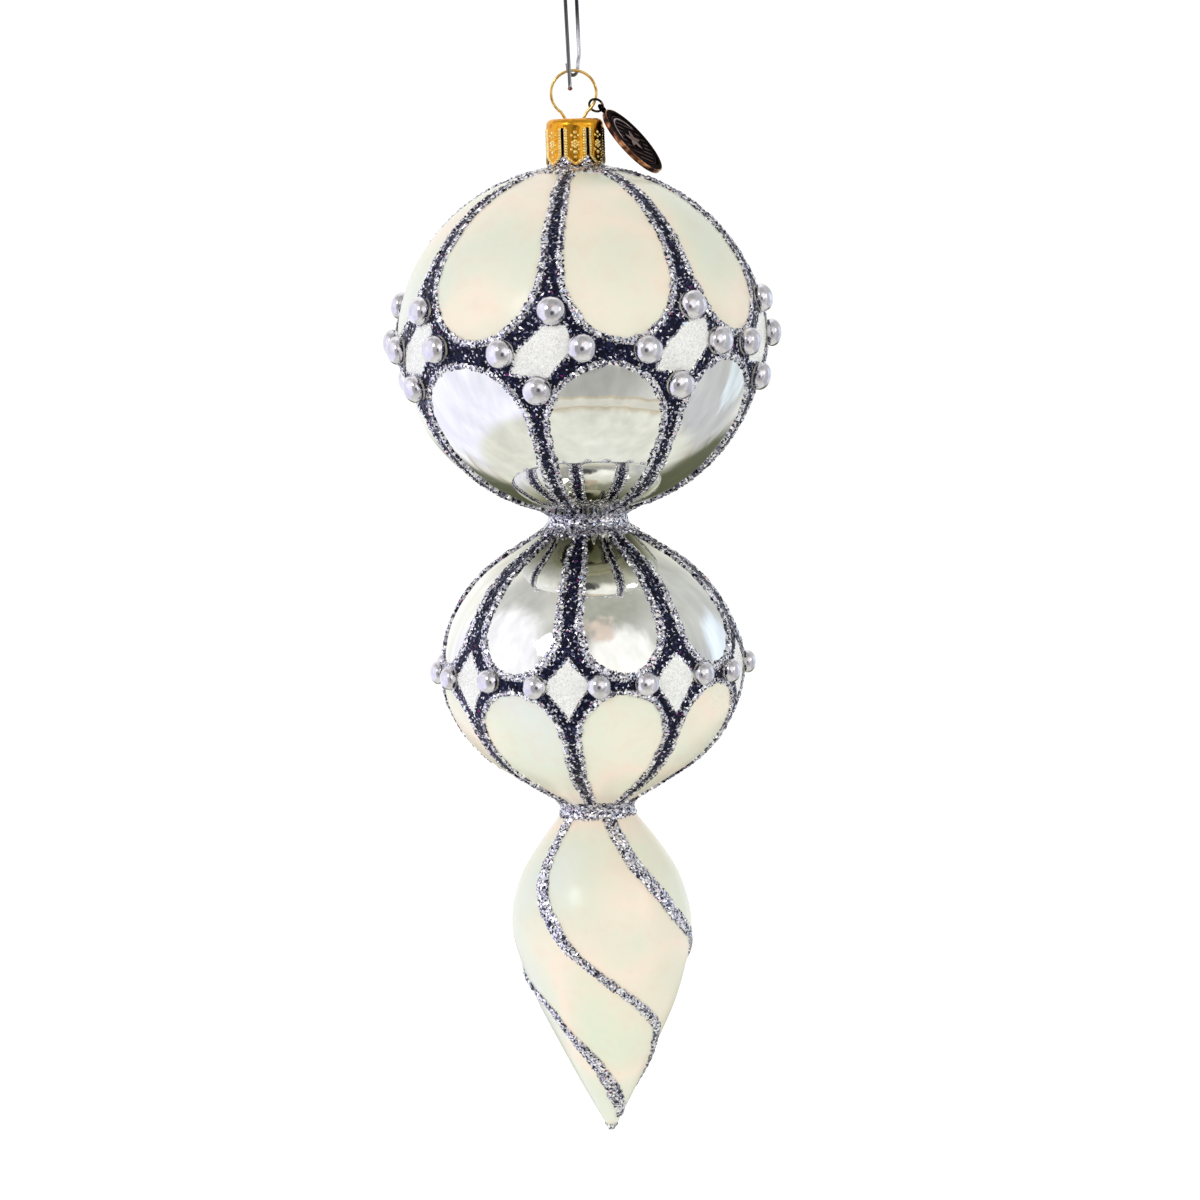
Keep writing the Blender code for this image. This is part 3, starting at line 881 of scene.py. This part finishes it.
def add_crust(name, kind, flake, material, base, dome, rough, seed):
    """One crust of glitter over every zone of a kind, base high and dome more on its ridges."""
    dice = np.random.default_rng(seed)
    net = flake_net(flake, COLLARS[0][1], OUTLINE[-1, 1] + FLAKES_END, dice)
    angles, lengths, triangles = net
    points = surface(angles, lengths, 0)
    middle = points[triangles].mean(axis=1)
    middle[:, 0] -= drift(middle[:, 2])
    zone, _ = zones(np.degrees(np.arctan2(middle[:, 0], -middle[:, 1])), middle[:, 2])
    _, ridge = zones(angles, outline_at(lengths)[1])
    lift = base + dome * ridge + dice.uniform(-rough, rough, len(angles))
    mesh = flake_shell(name, net, zone == kind, lift, dice)
    add_piece(name, mesh, (glitter(material),), "glass", "lacquered_glass")


# --- pearls ---


def pearl_seat(node_name):
    """Angle and outline length where a CAD pearl sits, from its box."""
    low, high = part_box(node_name)
    middle = (low + high) / 2 / MM
    angle = math.degrees(math.atan2(middle.x, -middle.y))
    out = math.hypot(middle.x, middle.y)
    up = middle.z - EQUATOR
    away = (OUTLINE[:, 0] - out) ** 2 + (OUTLINE[:, 1] - up) ** 2
    return angle, LENGTHS[int(away.argmin())]


def seat_matrix(angle, length, lift):
    """Turns a piece modelled at the origin, standing along +Z, to stand on the glass there."""
    foot, top = surface(np.full(2, angle), np.full(2, length), np.array([lift, lift + 1]))
    normal = Vector(top - foot)
    return Matrix.Translation(Vector(foot)) @ normal.to_track_quat("Z", "Y").to_matrix().to_4x4()


def seated(profile, seats, lift, segments=28):
    """Copies of one turned shape at every seat: points and faces."""
    points, faces = turned(profile, segments)
    every_point, every_face = [], []
    for angle, length in seats:
        matrix = np.array(seat_matrix(angle, length, lift))
        start = len(every_point) * len(points)
        every_point.append(points @ matrix[:3, :3].T + matrix[:3, 3])
        every_face += [tuple(start + index for index in face) for face in faces]
    return np.vstack(every_point), every_face


def pearl_profile(radius):
    """From the foot, out round the pearl's widest part, and over its top."""
    angles = np.radians(np.linspace(-PEARL_UNDERCUT, 90, 13))
    high = radius * PEARL_RISE / (1 + math.sin(math.radians(PEARL_UNDERCUT)))
    centre = radius * PEARL_RISE - high
    rows = [(radius * math.cos(angle), centre + high * math.sin(angle)) for angle in angles]
    rows[-1] = (0, rows[-1][1])
    foot = rows[0][1] - CLEARANCE
    return [(0, foot), (rows[0][0] * PEARL_FOOT, foot), *rows]


def add_pearls(row, radius, pearl, glue):
    names = sorted(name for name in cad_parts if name.startswith(f"{row}_pearl"))
    seats = [pearl_seat(name) for name in names]
    shape = seated(pearl_profile(radius), seats, CLEARANCE)
    add_solid(f"{row}_pearls", shape, pearl, "glass", "pearl", *names)
    skirt = [(radius * share, height) for share, height in GLUE_PROFILE]
    # the glue round each pearl, painted dark as its shadow
    add_solid(f"{row}_pearl_glue_shade", seated(skirt, seats, GLUE_LIFT), glue, "glass", "pearl")


# --- wires ---


def full_turn(steps):
    return np.arange(steps) * 2 * math.pi / steps


def circle(centre, one, other, radius, steps):
    angles = full_turn(steps)
    return centre + radius * (np.outer(np.cos(angles), one) + np.outer(np.sin(angles), other))


def tube(points, radius, shares=1, segments=14, closed=False):
    """A round tube through the points, thicker or thinner there by the given shares."""
    points = np.array(points, float)
    count = len(points)
    shares = np.broadcast_to(shares, count)
    if closed:
        ways = np.roll(points, -1, axis=0) - np.roll(points, 1, axis=0)
    else:
        ways = np.gradient(points, axis=0)
    ways /= np.linalg.norm(ways, axis=1)[:, None]
    side = np.cross(ways[0], (0.31, 0.52, 0.79))
    made = []
    for point, way, share in zip(points, ways, shares):
        side = side - way * (side @ way)
        side /= np.linalg.norm(side)
        made.append(circle(point, side, np.cross(way, side), radius * share, segments))
    faces = []
    for i in range(count if closed else count - 1):
        low, top = i * segments, (i + 1) % count * segments
        for j in range(segments):
            k = (j + 1) % segments
            faces.append((low + j, low + k, top + k, top + j))
    if not closed:
        faces.append(tuple(range(segments))[::-1])
        faces.append(tuple(range((count - 1) * segments, count * segments)))
    return np.vstack(made), faces


def half_turn(radius, height, yaw, start, end, steps):
    """Points of a circle that stands upright, turned by yaw from the front-to-back plane."""
    angles = np.radians(np.linspace(start, end, steps))
    across, up = radius * np.cos(angles), height + radius * np.sin(angles)
    return np.column_stack([across * math.sin(yaw), across * math.cos(yaw), up])


def add_hook():
    crook = half_turn(CROOK_R, CROOK_HEIGHT, CROOK_YAW, 0, 180, 37)
    curl_height = LOOP_HEIGHT + LOOP_R - (HANGER_WIRE + HOOK_WIRE) / 2 - CLEARANCE + CURL_R
    curl = half_turn(CURL_R, curl_height, CURL_YAW, 0, -180, 31)
    back_leg = smooth_points([crook[0], *BACK_LEG, curl[0]], 10)
    front_leg = smooth_points([crook[-1], *FRONT_LEG], 16)
    drops = np.linspace(0, BEAD_LENGTH, len(BEAD_SHARES) + 1)[1:]
    bead = front_leg[-1] - np.outer(drops, (0, 0, 1))
    path = np.vstack(
        [curl[-1] + CURL_END, curl[::-1], back_leg[::-1][1:-1], crook, front_leg[1:], bead]
    )
    shares = [1] * (len(path) - len(bead)) + list(BEAD_SHARES)
    points, faces = tube(path, HOOK_WIRE / 2, shares)
    mesh = outwards(make_mesh("hook_wire", points, faces))
    low = (front_leg[-1][2] + EQUATOR) * MM
    for face in mesh.polygons:
        face.material_index = int(face.center.z < low and face.center.y < BEAD_FRONT * MM)
    finishes = (noisy("hook_steel"), noisy("hook_bead"))
    add_piece("hook_wire", mesh, finishes, "hook", "steel_wire", "wire_hook")


def add_hanger():
    half = arc_rows(LOOP_R, (LOOP_R, LOOP_R), LOOP_HEIGHT, (90, LOOP_ENDS), 60)
    leg = smooth_points([half[-1], *HANGER_LEG], 8)
    half = np.vstack([half, leg[1:]])
    right = np.column_stack([half[:, 0], np.zeros(len(half)), half[:, 1]])
    left = right[1:] * (-1, 1, 1)
    shape = tube(np.vstack([left[::-1], right]), HANGER_WIRE / 2)
    add_solid("hanger_wire", shape, noisy("wire_gold"), "hanger", "brass_wire", "wire_hanger")


# --- cap ---


def petal_half(height):
    """Half of a petal's width along the skirt; above the slots the petals join."""
    pitch = math.pi * CAP_SKIRT_R / CAP_PETALS
    full = pitch - PETAL_SLOT / 2
    down = np.clip((SLOT_BOTTOM - height) / (SLOT_BOTTOM - CAP_TIPS), 0, 1)
    half = full * np.maximum(1 - down, 0) ** PETAL_TAPER
    return np.where(height > SLOT_TOP, pitch, np.maximum(half, 0.03))


def bulge(away):
    """1 in the middle of something raised, falling to 0 where away is 1."""
    return np.clip(1 - away**2, 0, None)


def petal_relief(across, up):
    """The stamped pattern of a petal, from 0 to 1."""
    half = petal_half(up)
    slope = 1 + np.clip((SLOT_BOTTOM - up) / 1.2, 0, 1) * 0.35
    edge = (half - np.abs(across)) / slope
    strands = 0.62 + 0.38 * np.cos(up * 2 * math.pi / ROPE_PITCH)
    rope = bulge((edge - ROPE_INSET) / ROPE_HALF) * strands
    total = np.maximum(rope, bulge(edge / LIP_HALF) * 0.7)
    for x, z, size in PETAL_BOSSES:
        boss = 1 - ((across - x) ** 2 + (up - z) ** 2) / size**2
        total = np.maximum(total, boss)
    fade = np.clip((SLOT_TOP + 0.1 - up) / 0.5, 0, 1)
    return total * fade


def add_cap():
    """The cap from rows of (radius, height, way out of it), petal by petal, joined above."""
    centre = CAP_TOP - CAP_SHOULDER_R
    turn = np.radians(np.linspace(0, 90, 9))
    disc = [(r, CAP_TOP, 0, 1) for r in (0.02, 1.2, 2.4, 3.6)]
    shoulder = [
        (CAP_DISC_R + CAP_SHOULDER_R * away, centre + CAP_SHOULDER_R * up, away, up)
        for away, up in zip(map(math.sin, turn), map(math.cos, turn))
    ]
    ground = CAP_SKIRT_R - CAP_SINK
    skirt = [(ground, height, 1, 0) for height in np.linspace(centre, CAP_TIPS, 92)[1:]]
    rows = np.array(disc + shoulder + skirt)
    rows[len(disc):, 0] = np.minimum(rows[len(disc):, 0], ground)
    columns = np.linspace(-1, 1, 57)
    outer, inner, relief, faces = [], [], [], []
    for petal in range(CAP_PETALS):
        middle = 2 * math.pi * petal / CAP_PETALS
        start = len(outer) * len(columns)
        for radius, height, away, up in rows:
            across = columns * petal_half(height)
            stamp = petal_relief(across, np.full(len(columns), height))
            angle = middle + across / CAP_SKIRT_R
            for net, lift in ((outer, RELIEF * stamp), (inner, np.full(len(columns), CAP_BACK))):
                reach = radius + away * lift
                level = height + up * lift
                net.append(np.column_stack([reach * np.sin(angle), -reach * np.cos(angle), level]))
            relief.append(stamp)
        for i in range(len(rows) - 1):
            for j in range(len(columns) - 1):
                first = start + i * len(columns) + j
                faces.append((first, first + len(columns), first + len(columns) + 1, first + 1))
    top_points, low_points = np.vstack(outer), np.vstack(inner)
    every, where = np.unique(np.round(top_points, 5), axis=0, return_inverse=True)
    where = where.ravel()
    first = np.zeros(len(every), int)
    first[where] = np.arange(len(where))
    faces = np.array([face for face in where[np.array(faces)] if len(set(face)) == 4])
    mesh = closed_shell("stamped_cap", top_points[first], low_points[first], faces)
    stamps = CAP_GROUND + (1 - CAP_GROUND) * np.concatenate(relief)[first]
    # the cap's inside takes 0, the darkest colour, as painted shade
    add_numbers(mesh, "relief", "POINT", np.concatenate([stamps, np.zeros(len(first))]))
    add_piece("stamped_cap", mesh, (cap_material(),), "cap", "gold_cap", "metal_cap")


# --- tag ---


def ring_frame():
    """The jump ring's centre and normal, and the way from its centre to the tag's eye."""
    turn, angle = math.radians(RING_TURN), math.radians(RING_ANGLE)
    away = np.array([math.cos(angle), 0, math.sin(angle)])
    along = np.array([-math.sin(angle), 0, math.cos(angle)])
    held = away * LOOP_R + (0, 0, LOOP_HEIGHT)
    normal = along * math.cos(turn) + np.array([0, 1, 0]) * math.sin(turn)
    return held + away * RING_LIFT, normal, away


def tag_frame():
    """The tag's eye and middle, and the ways along it, across it and out of its face."""
    centre, _, away = ring_frame()
    lean, face = math.radians(TAG_LEAN), math.radians(TAG_TURN)
    length = np.array([math.cos(lean), 0, -math.sin(lean)])
    up = np.array([math.sin(lean), 0, math.cos(lean)])
    front = np.array([0, -1, 0]) * math.cos(face) + up * math.sin(face)
    eye = centre + away * RING_R
    middle = eye + length * (TAG_HALF[0] + TAG_EYE_REACH)
    return eye, middle, length, np.cross(front, length), front


def add_ring():
    centre, normal, away = ring_frame()
    path = circle(centre, away, np.cross(normal, away), RING_R, 48)
    shape = tube(path, RING_WIRE / 2, segments=12, closed=True)
    add_solid("jump_ring", shape, noisy("black_with_painted_glints"), "tag_ring", "black_metal", "tag_ring")


def star_share(x, y, size):
    """1 inside a plain five-pointed star of that size, falling to 0 outside it."""
    angle = np.arctan2(y, x)
    fold = np.abs((angle / (2 * math.pi / 5)) % 1 - 0.5) * 2
    reach = size * (0.42 + 0.58 * fold**1.6)
    return np.clip((reach - np.hypot(x, y)) / 0.25, 0, 1)


def tag_relief(x, y):
    """The tag's face, as height and as colour from 0 to 1: rim, hatching, crescent and star. The
    crescent's colour is a painted highlight on the left of the face.
    """
    share = np.hypot(x / TAG_HALF[0], y / TAG_HALF[1])
    edge = (1 - share) * TAG_HALF[1]
    rim = np.clip((1 - edge) / 0.12, 0, 1)
    line = bulge((edge - 1.45) / 0.17)
    hatch = np.clip(np.cos((0.48 * y - 0.62 * x) * 2 * math.pi) * 1.6, 0, 1)
    hatch = hatch * np.clip((edge - 1.75) / 0.1, 0, 1)
    hatch = hatch * (1 - np.clip((3.3 - np.hypot(x, y)) / 0.2, 0, 1))
    star = star_share(x, y, TAG_STAR)
    # a raised crescent on the left only, painted pale as a highlight
    crescent = bulge((edge - 2) / 0.3) * np.clip((-x - 1.2) / 0.8, 0, 1)
    height = np.maximum.reduce([rim, line * 0.6, hatch * 0.5, star * 0.85, crescent * 0.8])
    colour = np.maximum.reduce([rim * 0.32, line * 0.55, hatch * 0.62, star * 0.85, crescent])
    return height, colour


def add_tag():
    """The tag from rings of points: its stamped face, its edge in copper, and its plain back."""
    eye, middle, length, cross, front = tag_frame()
    turns = full_turn(TAG_STEPS)
    thick = TAG_HALF[2]

    def ring(share):
        return TAG_HALF[0] * share * np.cos(turns), TAG_HALF[1] * share * np.sin(turns)

    rows = []
    for share in np.concatenate([[0.01], np.linspace(0.03, 0.985, TAG_ROWS)]):
        stamp, colour = tag_relief(*ring(share))
        rows.append((*ring(share), thick - TAG_DEPTH * (1 - stamp), colour))
    edge_start = len(rows) - 2
    sides = ((1, thick - 0.1), (1, 0.1 - thick), (0.985, -thick), (0.6, -thick), (0.01, -thick))
    for share, level in sides:
        rows.append((*ring(share), np.full(TAG_STEPS, level), np.full(TAG_STEPS, TAG_PLAIN)))
    local = np.vstack([np.column_stack(row[:3]) for row in rows])
    relief = np.concatenate([row[3] for row in rows])
    faces = [tuple(range(TAG_STEPS))[::-1]]
    kinds = [0]
    for i in range(len(rows) - 1):
        faces += band(i * TAG_STEPS, (i + 1) * TAG_STEPS, TAG_STEPS)
        kinds += [int(edge_start <= i < edge_start + 4)] * TAG_STEPS
    faces.append(tuple(range(len(local) - TAG_STEPS, len(local))))
    points = middle + local @ np.vstack([length, cross, front])
    lug_path = circle(eye, length, cross, LUG_R, 32)
    lug, lug_faces = tube(lug_path, LUG_WIRE / 2, segments=10, closed=True)
    faces += [tuple(index + len(points) for index in face) for face in lug_faces]
    kinds += [0] * (1 + len(lug_faces))
    mesh = make_mesh("oval_tag", np.vstack([points, lug]), faces)
    mesh.polygons.foreach_set("material_index", kinds)
    add_numbers(mesh, "relief", "POINT", np.concatenate([relief, np.full(len(lug), LUG_PLAIN)]))
    finishes = (tag_material(), noisy("worn_copper"))
    add_piece("oval_tag", outwards(mesh), finishes, "tag", "dark_bronze", "hang_tag")


# --- stage ---


def add_floor():
    """A plain pale paper floor well below the ornament."""
    place = (0, 0, CAD_BOX[0].z - FLOOR_DROP)
    bpy.ops.mesh.primitive_plane_add(size=FLOOR_SIZE, location=place)
    floor = bpy.context.object
    floor.name = "floor"
    paper = new_material("pale_paper", 0.8, Emission_Strength=0.3)
    fleck = ramp(paper, noise(paper, 300), [(0.4, (0.94, 0.94, 0.93)), (0.6, (0.97, 0.97, 0.96))])
    paint(paper, fleck)
    link(paper, fleck, shader_of(paper).inputs["Emission Color"])
    floor.data.materials.append(paper)
    floor.visible_glossy = False  # what is shiny shows the studio's soft patches instead


def add_lamp(name, place, size, power, colour):
    """A round soft lamp that faces the ornament."""
    light = bpy.data.lights.new(name, "AREA")
    light.shape = "DISK"
    light.size = size
    light.energy = power
    light.color = colour
    lamp = add_object(name, light)
    lamp.location = place
    lamp.rotation_euler = (LAMP_AIM - Vector(place)).to_track_quat("-Z", "Y").to_euler()
    lamp.visible_camera = False
    lamp.visible_glossy = False  # two of the studio's patches stand for the lamps there


STUDIO = (
    # a soft patch of the studio: degrees right of the camera's side and above the horizon,
    # degrees across it where it starts and is full, colour
    (0, 3, 84, 32, (0.47, 0.47, 0.455)),
    (105, 28, 50, 30, (0.64, 0.65, 0.64)),
    (-90, 50, 32, 14, (0.66, 0.66, 0.66)),
    (25, 66, 38, 16, (0.48, 0.49, 0.45)),
    (0, -90, 54.8, 54.2, (0.60, 0.54, 0.42)),
    (0, -90, 53.5, 52, (0.74, 0.73, 0.66)),
    (0, -90, 47.4, 46.8, (0.60, 0.53, 0.40)),
    (-92, -18, 56, 34, (1.02, 1.02, 1.20)),
    (102, -20, 42, 24, (0.60, 0.61, 0.63)),
    (0, -90, 47.6, 41, (0.83, 0.84, 0.77)),
    (-75, 17, 38, 20, (1.12, 1.12, 1.2)),
    (24, 16, 33, 16, (1.12, 1.12, 1.12)),
    (8, 43, 14, 5, (0.80, 0.68, 0.62)),
    (118, 6, 20, 8, (0.92, 1.02, 1.15)),
    (118, -18, 12, 5, (0.86, 0.96, 1.06)),
    (161, -38, 26, 13, (0.13, 0.14, 0.09)),
    (-167, -31, 20, 9, (0.13, 0.14, 0.09)),
    (2, -4, 17, 6, (0.10, 0.10, 0.11)),
    (-38, 26, 9, 3, (7, 6.9, 7)),
    (62, 15, 7, 3, (3.4, 3.5, 3.6)),
)


def way_to(side, rise):
    """The unit direction so many degrees right of the camera's side and above the horizon."""
    side, rise = math.radians(side), math.radians(rise)
    level = math.cos(rise)
    return Vector((level * math.sin(side), -level * math.cos(side), math.sin(rise)))


def add_world():
    """A plain pale studio, whose soft bright and dark patches show in what is shiny."""
    world = bpy.data.worlds.new("studio")
    bpy.context.scene.world = world
    world.use_nodes = True
    nodes = world.node_tree.nodes
    way = node(world, "TexCoord").outputs["Generated"]
    haze = noise(world, 5, 3, (1.4, 1.4, 0.35), "Generated")
    waver = math_node(world, "MULTIPLY_ADD", haze, STUDIO_WAVER, -STUDIO_WAVER / 2)
    colour = PALE
    for side, rise, start, full, patch in STUDIO:
        middle = way_to(side, rise)
        near = math_node(world, "DOT_PRODUCT", way, middle, kind="VectorMath")
        near = math_node(world, "ADD", near, waver)
        edges = (math.cos(math.radians(angle)) for angle in (start, full))
        inside = map_range(world, near, *edges, steps="SMOOTHSTEP")
        colour = mix_colours(world, inside, colour, patch)
    patches = nodes["Background"]
    link(world, colour, patches.inputs["Color"])
    strength = math_node(world, "MULTIPLY_ADD", haze, *STUDIO_HAZE)
    link(world, strength, patches.inputs["Strength"])
    plain = node(world, "Background", Color=(*PALE, 1))
    rays = node(world, "LightPath")
    either = node(world, "MixShader")
    link(world, rays.outputs["Is Camera Ray"], either.inputs["Fac"])
    link(world, patches.outputs["Background"], either.inputs[1])
    link(world, plain.outputs["Background"], either.inputs[2])
    link(world, either.outputs["Shader"], nodes["World Output"].inputs["Surface"])


def add_camera():
    data = bpy.data.cameras.new("camera")
    data.lens = CAMERA_LENS
    data.sensor_width = CAMERA_SENSOR
    data.clip_start = 0.01
    data.clip_end = 20
    camera = add_object("camera", data)
    camera.location = CAMERA_PLACE
    pitch = Matrix.Rotation(math.radians(90 - CAMERA_DOWN), 4, "X")
    roll = Matrix.Rotation(math.radians(CAMERA_ROLL), 4, "Z")
    camera.rotation_euler = (pitch @ roll).to_euler()
    bpy.context.scene.camera = camera


def main():
    add_camera()
    add_world()
    add_floor()
    for lamp in LAMPS:
        add_lamp(*lamp)
    bpy.context.scene.view_settings.view_transform = "Standard"
    add_glass()
    for crust in CRUSTS:
        add_crust(*crust)
    pearl, glue = noisy("silver_pearl"), noisy("glue_painted_shadow")
    add_pearls("upper", 3, pearl, glue)
    add_pearls("lower", 2.5, pearl, glue)
    add_hook()
    add_hanger()
    add_cap()
    add_ring()
    add_tag()


main()
